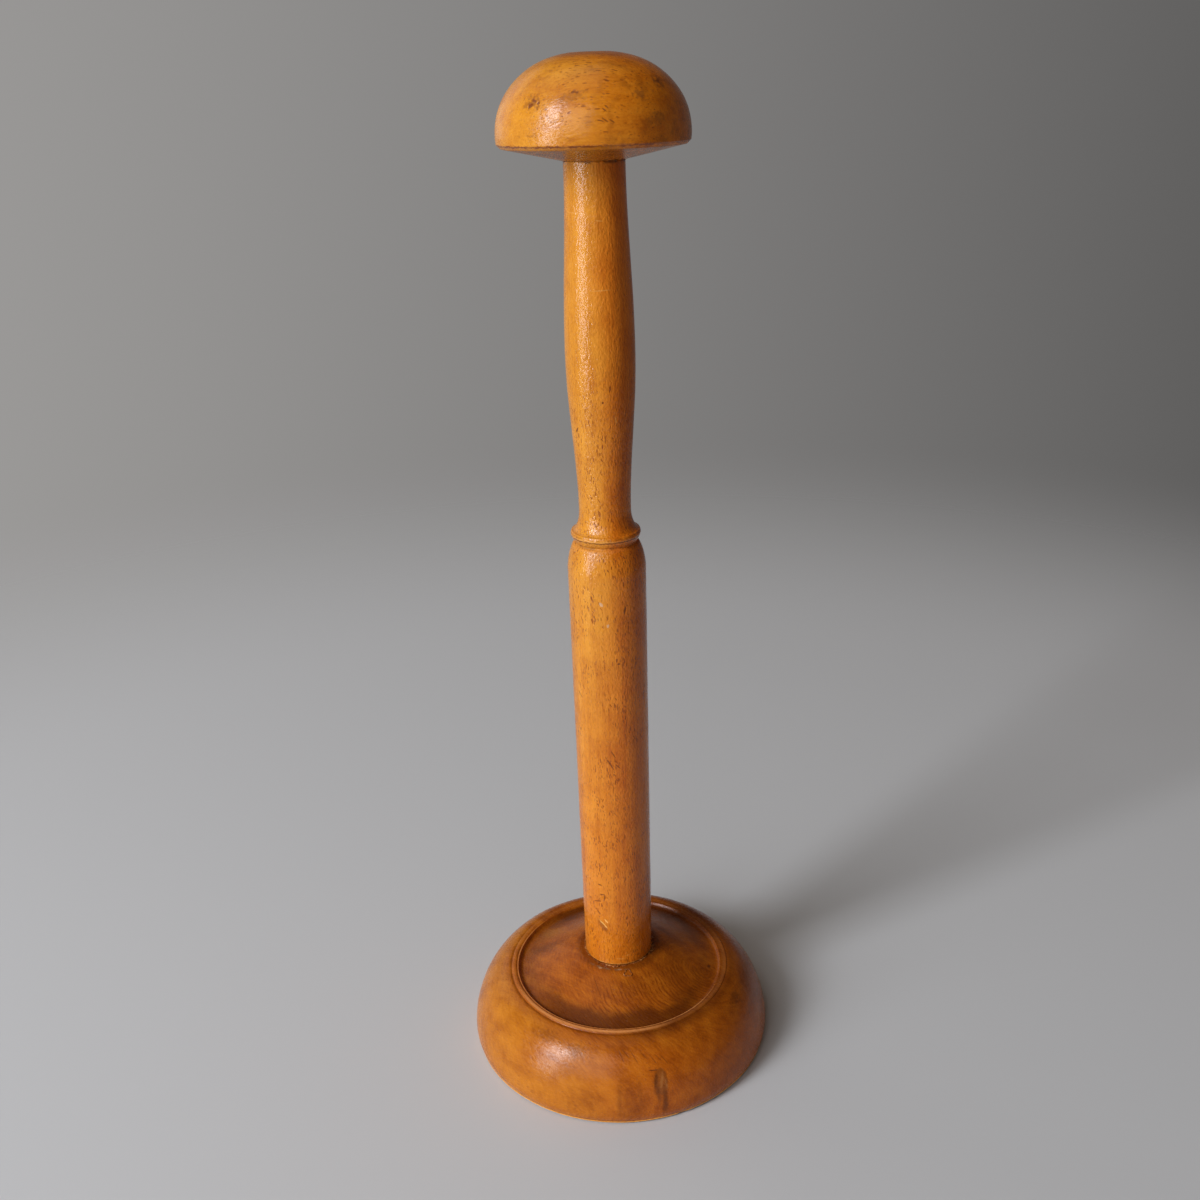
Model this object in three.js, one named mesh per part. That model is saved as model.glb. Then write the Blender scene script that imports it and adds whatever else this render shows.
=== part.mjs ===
// Turned wooden hat stand: a heavy dished base, a baluster column and a mushroom head.
// The column is one turning. Round tenons at its two ends are glued into blind holes in the
// base and in the head, and a little old glue shows at both joints.
// Millimetres, +Z up, origin in the middle of the underside.

import * as THREE from "three";

// Base, from the table up
const BASE_RADIUS = 60;
const BASE_WIDEST_HEIGHT = 4.8;
const BASE_UNDERCUT = 1.2;
const BASE_ARRIS = 0.8;
const SHOULDER_FULLNESS = 1.76;
const RIM_RADIUS = 43.9;
const RIM_HEIGHT = 29.9;
const RIM_BEAD_WIDTH = 2.7;
const RIM_BEAD_RISE = 0.5;
const DISH_DROP = 1.7;
const DISH_COVE = 1.5;
const DISH_OGEE = 0.35;
const SEAT_HEIGHT = 37.2;
const SEAT_MARGIN = 0.2;

// Column, from its foot up
const FOOT_RADIUS = 13.45;
const FOOT_ARRIS = 0.5;
const SHAFT_LENGTH = 164.8;
const SHAFT_TOP_RADIUS = 14.08;
const SHOULDER_LENGTH = 10;
const SHAFT_SHOULDER_FULLNESS = 1.65;
const GROOVE_RADIUS = 11.2;
const GROOVE_LAND = 0.6;
const COLLAR_RADIUS = 12.5;
const COLLAR_UNDERSIDE = 2.7;
const COLLAR_UNDERSIDE_FULLNESS = 1.3;
const COLLAR_TOP = 1.2;
const COLLAR_TOP_FULLNESS = 1.6;
const COLLAR_TOP_RADIUS = 12;
const NECK_COVE_LENGTH = 6.7;
const NECK_COVE_FULLNESS = 1.8;
const NECK_RADIUS = 9.2;
const BELLY_RISE = 55.25;
const BELLY_RADIUS = 11.9;
const TAPER_LENGTH = 61.5;
const TOP_RADIUS = 10;

// Head, from its underside up
const HEAD_RADIUS = 31.1;
const HEAD_SEAT_MARGIN = 0.1;
const UNDERSIDE_RISE = 4;
const HEAD_CHAMFER_WIDTH = 1.5;
const HEAD_CHAMFER_HEIGHT = 1.3;
const HEAD_WALL = 1.9;
const HEAD_WALL_LEAN = 0.15;
const DOME_HEIGHT = 24.4;
const DOME_CROWN_RADIUS = 2.5;
const DOME_FULLNESS = 2.1;
const DOME_FLAT_RADIUS = 6.6;

// Joints
const FOOT_TENON_RADIUS = 8;
const FOOT_TENON_LENGTH = 22;
const HEAD_TENON_RADIUS = 6.5;
const HEAD_TENON_LENGTH = 18;
const TENON_ARRIS = 0.6;
const GLUE_LINE = 0.2;
const MORTISE_SPARE = 1.2;

// Glue squeezed out of the joints
const FOOT_GLUE_WIDTH = 1.7;
const FOOT_GLUE_HEIGHT = 0.8;
const HEAD_GLUE_WIDTH = 0.5;
const HEAD_GLUE_HEIGHT = 0.7;
const GLUE_FEATHER = 0.15;
const GLUE_SLUMP = 0.45;

// Facets round each turning
const BASE_FACETS = 64;
const COLUMN_FACETS = 40;
const HEAD_FACETS = 48;

// Fullness of a plain quarter of an ellipse
const ELLIPSE = 2;

const point = (radius, height) => new THREE.Vector2(radius, height);

// Points of a quarter of a superellipse between its ends: from the side, where the wall
// stands upright, to the top, where it lies flat. The side point itself is left out.
function shoulder(side, top, fullness, steps, reach = 1) {
  const points = [];
  for (let step = 1; step <= steps; step += 1) {
    const angle = (step / steps) * reach * (Math.PI / 2);
    const inward = 1 - Math.cos(angle) ** (2 / fullness);
    const upward = Math.sin(angle) ** (2 / fullness);
    points.push(point(
      side.x + (top.x - side.x) * inward,
      side.y + (top.y - side.y) * upward,
    ));
  }
  return points;
}

// The same quarter run the other way, from the flat end to the upright one.
function shoulderFromTop(top, side, fullness, steps) {
  const points = shoulder(side, top, fullness, steps).reverse().slice(1);
  points.push(side);
  return points;
}

// A smooth swell from one radius to another, level at both ends.
function swell(from, to, steps) {
  const points = [];
  for (let step = 1; step <= steps; step += 1) {
    const share = step / steps;
    const rise = (1 - Math.cos(Math.PI * share)) / 2;
    points.push(point(from.x + (to.x - from.x) * rise, from.y + (to.y - from.y) * share));
  }
  return points;
}

// A turning round +Z from its profile of radius and height.
function turned(name, profile, facets, material) {
  const geometry = new THREE.LatheGeometry(profile, facets);
  geometry.rotateX(Math.PI / 2);
  const mesh = new THREE.Mesh(geometry, material);
  mesh.name = name;
  return mesh;
}

function wood(colour, roughness) {
  return new THREE.MeshStandardMaterial({ color: colour, roughness, metalness: 0 });
}

const baseWood = wood(0xa9621f, 0.42);
const columnWood = wood(0xc2792c, 0.4);
const headWood = wood(0xcb832e, 0.38);
const oldGlue = wood(0x5a3a22, 0.6);

// The dish rises as a flattened ogee from the cove inside the rim to the column's seat.
function dishSlope(cove, seat, steps) {
  const points = [];
  for (let step = 1; step <= steps; step += 1) {
    const share = step / steps;
    const curve = (1 - Math.cos(Math.PI * share)) / 2;
    const rise = share * (1 - DISH_OGEE) + curve * DISH_OGEE;
    points.push(point(cove.x + (seat.x - cove.x) * share, cove.y + (seat.y - cove.y) * rise));
  }
  return points;
}

function makeBase() {
  const widest = point(BASE_RADIUS, BASE_WIDEST_HEIGHT);
  const wallFoot = point(BASE_RADIUS - BASE_UNDERCUT, BASE_ARRIS);
  const wallMiddle = point(BASE_RADIUS - BASE_UNDERCUT / 4, BASE_WIDEST_HEIGHT / 2);
  const quirk = point(RIM_RADIUS, RIM_HEIGHT - RIM_BEAD_RISE);
  const beadTop = point(RIM_RADIUS - RIM_BEAD_WIDTH / 2, RIM_HEIGHT);
  const beadInner = point(RIM_RADIUS - RIM_BEAD_WIDTH, quirk.y);
  const cove = point(beadInner.x - DISH_COVE, RIM_HEIGHT - DISH_DROP);
  const seat = point(FOOT_RADIUS + GLUE_LINE + FOOT_GLUE_WIDTH + SEAT_MARGIN, SEAT_HEIGHT);
  const mortiseRadius = FOOT_TENON_RADIUS + GLUE_LINE;
  const mortiseFloor = SEAT_HEIGHT - FOOT_TENON_LENGTH - MORTISE_SPARE;
  const profile = [
    point(0, 0),
    point(wallFoot.x - BASE_ARRIS, 0),
    wallFoot,
    wallMiddle,
    widest,
    ...shoulder(widest, quirk, SHOULDER_FULLNESS, 11),
    ...shoulder(quirk, beadTop, ELLIPSE, 3),
    ...shoulderFromTop(beadTop, beadInner, ELLIPSE, 3),
    ...shoulder(beadInner, cove, ELLIPSE, 3),
    ...dishSlope(cove, seat, 6),
    point(mortiseRadius, SEAT_HEIGHT),
    point(mortiseRadius, mortiseFloor),
    point(0, mortiseFloor),
  ];
  return turned("base", profile, BASE_FACETS, baseWood);
}

// Heights of the column's stations above its foot
const GROOVE_HEIGHT = SHAFT_LENGTH + SHOULDER_LENGTH + GROOVE_LAND;
const COLLAR_HEIGHT = GROOVE_HEIGHT + COLLAR_UNDERSIDE;
const COLLAR_TOP_HEIGHT = COLLAR_HEIGHT + COLLAR_TOP;
const NECK_HEIGHT = COLLAR_TOP_HEIGHT + NECK_COVE_LENGTH;
const BELLY_HEIGHT = NECK_HEIGHT + BELLY_RISE;
const COLUMN_LENGTH = BELLY_HEIGHT + TAPER_LENGTH;

function makeColumn() {
  const shaftTop = point(SHAFT_TOP_RADIUS, SHAFT_LENGTH);
  const shoulderTop = point(GROOVE_RADIUS, SHAFT_LENGTH + SHOULDER_LENGTH);
  const groove = point(GROOVE_RADIUS, GROOVE_HEIGHT);
  const collar = point(COLLAR_RADIUS, COLLAR_HEIGHT);
  const collarTop = point(COLLAR_TOP_RADIUS, COLLAR_TOP_HEIGHT);
  const neck = point(NECK_RADIUS, NECK_HEIGHT);
  const belly = point(BELLY_RADIUS, BELLY_HEIGHT);
  const top = point(TOP_RADIUS, COLUMN_LENGTH);
  const profile = [
    point(0, -FOOT_TENON_LENGTH),
    point(FOOT_TENON_RADIUS - TENON_ARRIS, -FOOT_TENON_LENGTH),
    point(FOOT_TENON_RADIUS, -FOOT_TENON_LENGTH + TENON_ARRIS),
    point(FOOT_TENON_RADIUS, 0),
    point(FOOT_RADIUS - FOOT_ARRIS, 0),
    point(FOOT_RADIUS, FOOT_ARRIS),
    shaftTop,
    ...shoulder(shaftTop, shoulderTop, SHAFT_SHOULDER_FULLNESS, 6),
    groove,
    ...shoulderFromTop(groove, collar, COLLAR_UNDERSIDE_FULLNESS, 3),
    ...shoulder(collar, collarTop, COLLAR_TOP_FULLNESS, 3),
    ...shoulderFromTop(collarTop, neck, NECK_COVE_FULLNESS, 6),
    ...swell(neck, belly, 8),
    ...swell(belly, top, 8),
    point(HEAD_TENON_RADIUS, COLUMN_LENGTH),
    point(HEAD_TENON_RADIUS, COLUMN_LENGTH + HEAD_TENON_LENGTH - TENON_ARRIS),
    point(HEAD_TENON_RADIUS - TENON_ARRIS, COLUMN_LENGTH + HEAD_TENON_LENGTH),
    point(0, COLUMN_LENGTH + HEAD_TENON_LENGTH),
  ];
  return turned("column", profile, COLUMN_FACETS, columnWood);
}

// The dome is cut off flat where it has drawn in to the flat's radius.
function domeReach() {
  const drawnIn = (DOME_FLAT_RADIUS - DOME_CROWN_RADIUS) / (HEAD_RADIUS - DOME_CROWN_RADIUS);
  return Math.acos(drawnIn ** (DOME_FULLNESS / 2)) / (Math.PI / 2);
}

function makeHead() {
  const seatRadius = TOP_RADIUS + GLUE_LINE + HEAD_GLUE_WIDTH + HEAD_SEAT_MARGIN;
  const mortiseRadius = HEAD_TENON_RADIUS + GLUE_LINE;
  const mortiseTop = HEAD_TENON_LENGTH + MORTISE_SPARE;
  const edge = point(HEAD_RADIUS - HEAD_CHAMFER_WIDTH, UNDERSIDE_RISE);
  const wallFoot = point(HEAD_RADIUS - HEAD_WALL_LEAN, edge.y + HEAD_CHAMFER_HEIGHT);
  const widest = point(HEAD_RADIUS, wallFoot.y + HEAD_WALL);
  const crown = point(DOME_CROWN_RADIUS, widest.y + DOME_HEIGHT);
  const dome = shoulder(widest, crown, DOME_FULLNESS, 12, domeReach());
  const profile = [
    point(0, mortiseTop),
    point(mortiseRadius, mortiseTop),
    point(mortiseRadius, 0),
    point(seatRadius, 0),
    edge,
    wallFoot,
    widest,
    ...dome,
    point(0, dome[dome.length - 1].y),
  ];
  return turned("head", profile, HEAD_FACETS, headWood);
}

// A thin fillet of glue round the column, thick against it and feathered at its outer edge.
// The growth is +1 where it stands on a seat and -1 where it hangs under one.
function glueRing(name, columnRadius, width, height, growth) {
  const inner = columnRadius + GLUE_LINE;
  const outer = inner + width;
  const corners = [
    point(inner, 0),
    point(outer, 0),
    point(outer, GLUE_FEATHER * growth),
    point(inner + width / 2, height * growth * GLUE_SLUMP),
    point(inner, height * growth),
  ];
  if (growth < 0) {
    corners.reverse();
  }
  return turned(name, [...corners, corners[0]], COLUMN_FACETS, oldGlue);
}

function lifted(mesh, height) {
  mesh.position.z = height;
  return mesh;
}

const HEAD_SEAT_HEIGHT = SEAT_HEIGHT + COLUMN_LENGTH;
const footGlue = glueRing("foot_glue_ring", FOOT_RADIUS, FOOT_GLUE_WIDTH, FOOT_GLUE_HEIGHT, 1);
const headGlue = glueRing("head_glue_ring", TOP_RADIUS, HEAD_GLUE_WIDTH, HEAD_GLUE_HEIGHT, -1);

const hatStand = new THREE.Group();
hatStand.add(makeBase());
hatStand.add(lifted(footGlue, SEAT_HEIGHT));
hatStand.add(lifted(makeColumn(), SEAT_HEIGHT));
hatStand.add(lifted(headGlue, HEAD_SEAT_HEIGHT));
hatStand.add(lifted(makeHead(), HEAD_SEAT_HEIGHT));

export default hatStand;
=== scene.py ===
import math
from functools import cached_property, partial, reduce

import bpy
import numpy as np
from mathutils import Matrix, Vector, noise


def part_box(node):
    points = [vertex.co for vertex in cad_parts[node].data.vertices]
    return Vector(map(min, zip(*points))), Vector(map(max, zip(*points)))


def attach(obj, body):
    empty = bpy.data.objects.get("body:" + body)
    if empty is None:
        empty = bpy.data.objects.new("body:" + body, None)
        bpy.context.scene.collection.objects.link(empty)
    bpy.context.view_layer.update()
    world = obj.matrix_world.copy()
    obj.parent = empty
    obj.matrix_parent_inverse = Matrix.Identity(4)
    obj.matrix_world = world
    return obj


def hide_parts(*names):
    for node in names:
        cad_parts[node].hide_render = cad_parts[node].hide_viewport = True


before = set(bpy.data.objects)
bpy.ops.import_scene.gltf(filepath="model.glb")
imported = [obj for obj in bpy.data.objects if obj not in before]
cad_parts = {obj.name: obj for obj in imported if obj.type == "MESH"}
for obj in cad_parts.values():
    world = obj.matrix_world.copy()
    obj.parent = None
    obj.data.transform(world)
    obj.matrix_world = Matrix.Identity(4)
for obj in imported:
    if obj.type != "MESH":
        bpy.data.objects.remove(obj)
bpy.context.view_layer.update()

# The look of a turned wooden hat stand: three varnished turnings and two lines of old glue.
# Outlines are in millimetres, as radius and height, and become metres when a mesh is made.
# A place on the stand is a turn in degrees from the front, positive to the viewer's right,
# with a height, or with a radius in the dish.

MM = 0.001


def radius_of(node):
    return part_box(node)[1].x / MM


def low(node):
    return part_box(node)[0].z / MM


def high(node):
    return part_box(node)[1].z / MM


# Base
BASE_RADIUS = radius_of("base")
BASE_WIDEST_HEIGHT = 4.8
BASE_UNDERCUT = 1.2
BASE_ARRIS = 0.8
FOOT_BEAD_HEIGHT = 1.05
FOOT_BEAD_SIZE = 0.35
SHOULDER_FULLNESS = 1.76
RIM_RADIUS = 43.9
RIM_HEIGHT = 29.9
RIM_BEAD_WIDTH = 2.7
RIM_BEAD_RISE = 0.5
QUIRK_WIDTH = 0.8
QUIRK_DEPTH = 0.1
BEAD_LINE_RADIUS = 41.95
BEAD_LINE_WIDTH = 0.3
BEAD_LINE_DEPTH = 0.17
BEAD_WHOLE_TURN = -32
BEAD_WHOLE_REACH = 62
BEAD_WORN_REACH = 110
DISH_DROP = 1.7
DISH_COVE = 1.5
DISH_OGEE = 0.35
SEAT_RADIUS = 15.55
SEAT_HEIGHT = low("foot_glue_ring")

# Column, with heights above its foot
FOOT_TENON_LENGTH = SEAT_HEIGHT - low("column")
FOOT_TENON_RADIUS = 8
FOOT_RADIUS = 13.45
FOOT_ARRIS = 0.5
SHAFT_LENGTH = 164.8
SHAFT_TOP_RADIUS = radius_of("column")
SHOULDER_LENGTH = 10
SHAFT_SHOULDER_FULLNESS = 1.65
GROOVE_RADIUS = 11.2
GROOVE_LAND = 0.6
COLLAR_RADIUS = 12.5
COLLAR_UNDERSIDE = 2.7
COLLAR_UNDERSIDE_FULLNESS = 1.3
COLLAR_TOP = 1.2
COLLAR_TOP_FULLNESS = 1.6
COLLAR_TOP_RADIUS = 12
NECK_COVE_LENGTH = 6.7
NECK_COVE_FULLNESS = 1.8
NECK_RADIUS = 9.2
BELLY_RISE = 55.25
BELLY_RADIUS = 11.9
TOP_RADIUS = 10
HEAD_TENON_RADIUS = 6.5
TENON_ARRIS = 0.6

# Head, with heights above its seat
HEAD_SEAT_HEIGHT = low("head")
HEAD_RADIUS = radius_of("head")
HEAD_SEAT_RADIUS = 10.8
UNDERSIDE_RISE = 4
HEAD_CHAMFER_WIDTH = 1.5
HEAD_CHAMFER_HEIGHT = 1.3
HEAD_WALL = 1.9
HEAD_WALL_LEAN = 0.15
DOME_CROWN_RADIUS = 2.5
DOME_FULLNESS = 2.1
DOME_FLAT_RADIUS = 6.6

# Joints
MORTISE_GAP = 0.2
MORTISE_SPARE = 1.2
COLUMN_LENGTH = HEAD_SEAT_HEIGHT - SEAT_HEIGHT
GROOVE_HEIGHT = SHAFT_LENGTH + SHOULDER_LENGTH + GROOVE_LAND
HEAD_TENON_LENGTH = high("column") - HEAD_SEAT_HEIGHT

# Mesh fineness: spacing along an outline in millimetres, and segments round each turning
SPACING = 0.5
FINE_SPACING = 0.15
HIDDEN_SPACING = 6
BASE_SEGMENTS = 540
COLUMN_SEGMENTS = 240
HEAD_SEGMENTS = 360
GLUE_SEGMENTS = 300
DRIP_STEPS = 40
DRIP_CORNERS = 8

# Glue: a bead's section in shares of its width and rise, and how far it laps into the column
GLUE_SECTION = ((0, 0.5), (0.3, 0.45), (0.6, 0.6), (0.8, 0.55), (1, 0), (0.5, -0.1), (0, -0.1))
GLUE_RISE = 0.6
GLUE_LAP = 0.05
DRIP_REACH = 1.5
DRIP_THICKNESS = 0.2

ELLIPSE = 2


# Outlines

def shoulder(side, top, fullness=ELLIPSE, reach=1, spacing=SPACING):
    """Quarter of a superellipse from an upright side to a flat top, without the side point."""
    points = []
    steps = max(4, math.ceil(math.dist(side, top) / spacing))
    for step in range(1, steps + 1):
        angle = step / steps * reach * math.pi / 2
        inward = 1 - max(0, math.cos(angle)) ** (2 / fullness)
        upward = math.sin(angle) ** (2 / fullness)
        points.append((side[0] + (top[0] - side[0]) * inward, side[1] + (top[1] - side[1]) * upward))
    return points


def shoulder_from_top(top, side, fullness=ELLIPSE, spacing=SPACING):
    """The same quarter run from its flat end to its upright one, without the flat end."""
    return [*reversed(shoulder(side, top, fullness, spacing=spacing)[:-1]), side]


def line(start, end, spacing=SPACING):
    """Points along a straight stretch, without its start."""
    steps = math.ceil(math.dist(start, end) / spacing)
    shares = [step / steps for step in range(1, steps + 1)]
    return [tuple(a + (b - a) * share for a, b in zip(start, end)) for share in shares]


def swell(start, end):
    """A smooth swell from one radius to another, level at both ends, without its start."""
    points = []
    for _, height in line((0, start[1]), (0, end[1])):
        share = (height - start[1]) / (end[1] - start[1])
        rise = (1 - math.cos(math.pi * share)) / 2
        points.append((start[0] + (end[0] - start[0]) * rise, height))
    return points


def scored(outline, radius, depth, width):
    """The outline with a fine line cut into its top at a radius."""
    points = []
    for reach, height in outline:
        closeness = (reach - radius) / width
        points.append((reach, height - depth * math.exp(-closeness * closeness)))
    return points


def foot_bead(outline):
    """The outline with its lower edge worn to a thin bead."""
    points = []
    for radius, height in outline:
        closeness = (height - FOOT_BEAD_HEIGHT) / FOOT_BEAD_SIZE
        swollen = FOOT_BEAD_SIZE * math.exp(-closeness * closeness) if radius > BASE_RADIUS / 2 else 0
        points.append((radius + swollen, height))
    return points


def dish_slope(cove, seat):
    """The dish rises as a flattened ogee from the cove inside the rim to the column's seat."""
    points = []
    for radius, _ in line(cove, seat):
        share = (radius - cove[0]) / (seat[0] - cove[0])
        curve = (1 - math.cos(math.pi * share)) / 2
        rise = share * (1 - DISH_OGEE) + curve * DISH_OGEE
        points.append((radius, cove[1] + (seat[1] - cove[1]) * rise))
    return points


def rim_bead(quirk, inner):
    """The rounded bead on the rim, with a fine line in its top."""
    top = ((quirk[0] + inner[0]) / 2, RIM_HEIGHT)
    points = shoulder(quirk, top, spacing=FINE_SPACING)
    points += shoulder_from_top(top, inner, spacing=FINE_SPACING)
    return scored(points, BEAD_LINE_RADIUS, BEAD_LINE_DEPTH, BEAD_LINE_WIDTH)


def base_outline():
    flat = (BASE_RADIUS - BASE_UNDERCUT - BASE_ARRIS, 0)
    foot = (BASE_RADIUS - BASE_UNDERCUT, BASE_ARRIS)
    widest = (BASE_RADIUS, BASE_WIDEST_HEIGHT)
    quirk = (RIM_RADIUS, RIM_HEIGHT - RIM_BEAD_RISE)
    bead_inner = (RIM_RADIUS - RIM_BEAD_WIDTH, quirk[1])
    cove = (bead_inner[0] - DISH_COVE, RIM_HEIGHT - DISH_DROP)
    seat = (SEAT_RADIUS, SEAT_HEIGHT)
    mortise_top = (FOOT_TENON_RADIUS + MORTISE_GAP, SEAT_HEIGHT)
    mortise_foot = (mortise_top[0], SEAT_HEIGHT - FOOT_TENON_LENGTH - MORTISE_SPARE)
    points = [(0, 0), *line((0, 0), flat, HIDDEN_SPACING)]
    points += shoulder_from_top(flat, foot, spacing=FINE_SPACING)
    for _, height in line(foot, widest, FINE_SPACING):
        share = (height - foot[1]) / (widest[1] - foot[1])
        points.append((widest[0] - BASE_UNDERCUT * (1 - share) ** 2, height))
    points = foot_bead(points)
    points += scored(shoulder(widest, quirk, SHOULDER_FULLNESS), RIM_RADIUS, QUIRK_DEPTH, QUIRK_WIDTH)
    points += rim_bead(quirk, bead_inner)
    points += shoulder(bead_inner, cove)
    points += dish_slope(cove, seat)
    points += line(seat, mortise_top)
    points += line(mortise_top, mortise_foot, HIDDEN_SPACING)
    points += line(mortise_foot, (0, mortise_foot[1]), HIDDEN_SPACING)
    return points


def tenon(end_height, seat_height, radius):
    """Half outline of a tenon, from its chamfered end on the axis to the seat it grows from."""
    inward = TENON_ARRIS if end_height < seat_height else -TENON_ARRIS
    corners = [
        (0, end_height),
        (radius - TENON_ARRIS, end_height),
        (radius, end_height + inward),
        (radius, seat_height),
    ]
    points = [corners[0]]
    for start, end in zip(corners, corners[1:]):
        points += line(start, end, HIDDEN_SPACING)
    return points


def column_outline():
    foot_flat = (FOOT_RADIUS - FOOT_ARRIS, 0)
    foot_side = (FOOT_RADIUS, FOOT_ARRIS)
    shaft_top = (SHAFT_TOP_RADIUS, SHAFT_LENGTH)
    shoulder_top = (GROOVE_RADIUS, SHAFT_LENGTH + SHOULDER_LENGTH)
    groove = (GROOVE_RADIUS, GROOVE_HEIGHT)
    collar = (COLLAR_RADIUS, GROOVE_HEIGHT + COLLAR_UNDERSIDE)
    collar_top = (COLLAR_TOP_RADIUS, collar[1] + COLLAR_TOP)
    neck = (NECK_RADIUS, collar_top[1] + NECK_COVE_LENGTH)
    belly = (BELLY_RADIUS, neck[1] + BELLY_RISE)
    top = (TOP_RADIUS, COLUMN_LENGTH)
    points = tenon(-FOOT_TENON_LENGTH, 0, FOOT_TENON_RADIUS)
    points += line((FOOT_TENON_RADIUS, 0), foot_flat)
    points += shoulder_from_top(foot_flat, foot_side, spacing=FINE_SPACING)
    points += line(foot_side, shaft_top)
    points += shoulder(shaft_top, shoulder_top, SHAFT_SHOULDER_FULLNESS)
    points += [groove]
    points += shoulder_from_top(groove, collar, COLLAR_UNDERSIDE_FULLNESS, FINE_SPACING)
    points += shoulder(collar, collar_top, COLLAR_TOP_FULLNESS, spacing=FINE_SPACING)
    points += shoulder_from_top(collar_top, neck, NECK_COVE_FULLNESS)
    points += swell(neck, belly)
    points += swell(belly, top)
    points += reversed(tenon(COLUMN_LENGTH + HEAD_TENON_LENGTH, COLUMN_LENGTH, HEAD_TENON_RADIUS))
    return [(radius, height + SEAT_HEIGHT) for radius, height in points]


def head_outline():
    mortise_radius = HEAD_TENON_RADIUS + MORTISE_GAP
    mortise_top = HEAD_TENON_LENGTH + MORTISE_SPARE
    seat = (HEAD_SEAT_RADIUS, 0)
    edge = (HEAD_RADIUS - HEAD_CHAMFER_WIDTH, UNDERSIDE_RISE)
    wall_foot = (HEAD_RADIUS - HEAD_WALL_LEAN, edge[1] + HEAD_CHAMFER_HEIGHT)
    widest = (HEAD_RADIUS, wall_foot[1] + HEAD_WALL)
    drawn_in = (DOME_FLAT_RADIUS - DOME_CROWN_RADIUS) / (HEAD_RADIUS - DOME_CROWN_RADIUS)
    reach = math.acos(drawn_in ** (DOME_FULLNESS / 2)) / (math.pi / 2)
    risen = math.sin(reach * math.pi / 2) ** (2 / DOME_FULLNESS)
    flat_height = high("head") - HEAD_SEAT_HEIGHT
    crown = (DOME_CROWN_RADIUS, widest[1] + (flat_height - widest[1]) / risen)
    points = [(0, mortise_top), *line((0, mortise_top), (mortise_radius, mortise_top), HIDDEN_SPACING)]
    points += line((mortise_radius, mortise_top), (mortise_radius, 0), HIDDEN_SPACING)
    points += line((mortise_radius, 0), seat)
    points += line(seat, edge)
    points += line(edge, wall_foot, FINE_SPACING)
    points += line(wall_foot, widest)
    points += shoulder(widest, crown, DOME_FULLNESS, reach)
    points += line(points[-1], (0, flat_height), 2 * SPACING)
    return [(radius, height + HEAD_SEAT_HEIGHT) for radius, height in points]


# Places on the surface

def place_on(outline, height=None, radius=None):
    """The outermost point of an outline at a height, or its highest at a radius, and the way
    that the outline runs there."""
    axis, wanted = (1, height) if radius is None else (0, radius)
    found = []
    for start, end in zip(outline, outline[1:]):
        lower, upper = sorted((start[axis], end[axis]))
        if lower < upper and lower <= wanted <= upper:
            share = (wanted - start[axis]) / (end[axis] - start[axis])
            point = [a + (b - a) * share for a, b in zip(start, end)]
            found.append((point, (end[0] - start[0], end[1] - start[1])))
    return max(found, key=lambda item: item[0][1 - axis])


def way_at(angle):
    """The level direction at an angle from +X."""
    return Vector((math.cos(angle), math.sin(angle), 0))


def angles_round(count):
    """Angles at equal steps round a circle."""
    return [2 * math.pi * step / count for step in range(count)]


def spot(outline, turn, height=None, radius=None):
    """The centre and frame of a place on a turning's outside. The frame's first axis runs along
    the outline, its second round the turning and its third into the wood."""
    (reach, level), way = place_on(outline, height, radius)
    out = way_at(math.radians(turn - 90))
    around = way_at(math.radians(turn))
    along = (out * way[0] + Vector((0, 0, way[1]))).normalized()
    return out * reach + Vector((0, 0, level)), Matrix((along, around, along.cross(around))).transposed()


def between(start, end):
    """A spot midway between two others, with its first axis from one to the other, and half
    their distance."""
    way = end[0] - start[0]
    along = way.normalized()
    around = (start[1].col[2] + end[1].col[2]).cross(along).normalized()
    frame_turn = Matrix((along, around, along.cross(around))).transposed()
    return ((start[0] + end[0]) / 2, frame_turn), way.length / 2


# Meshes

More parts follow.
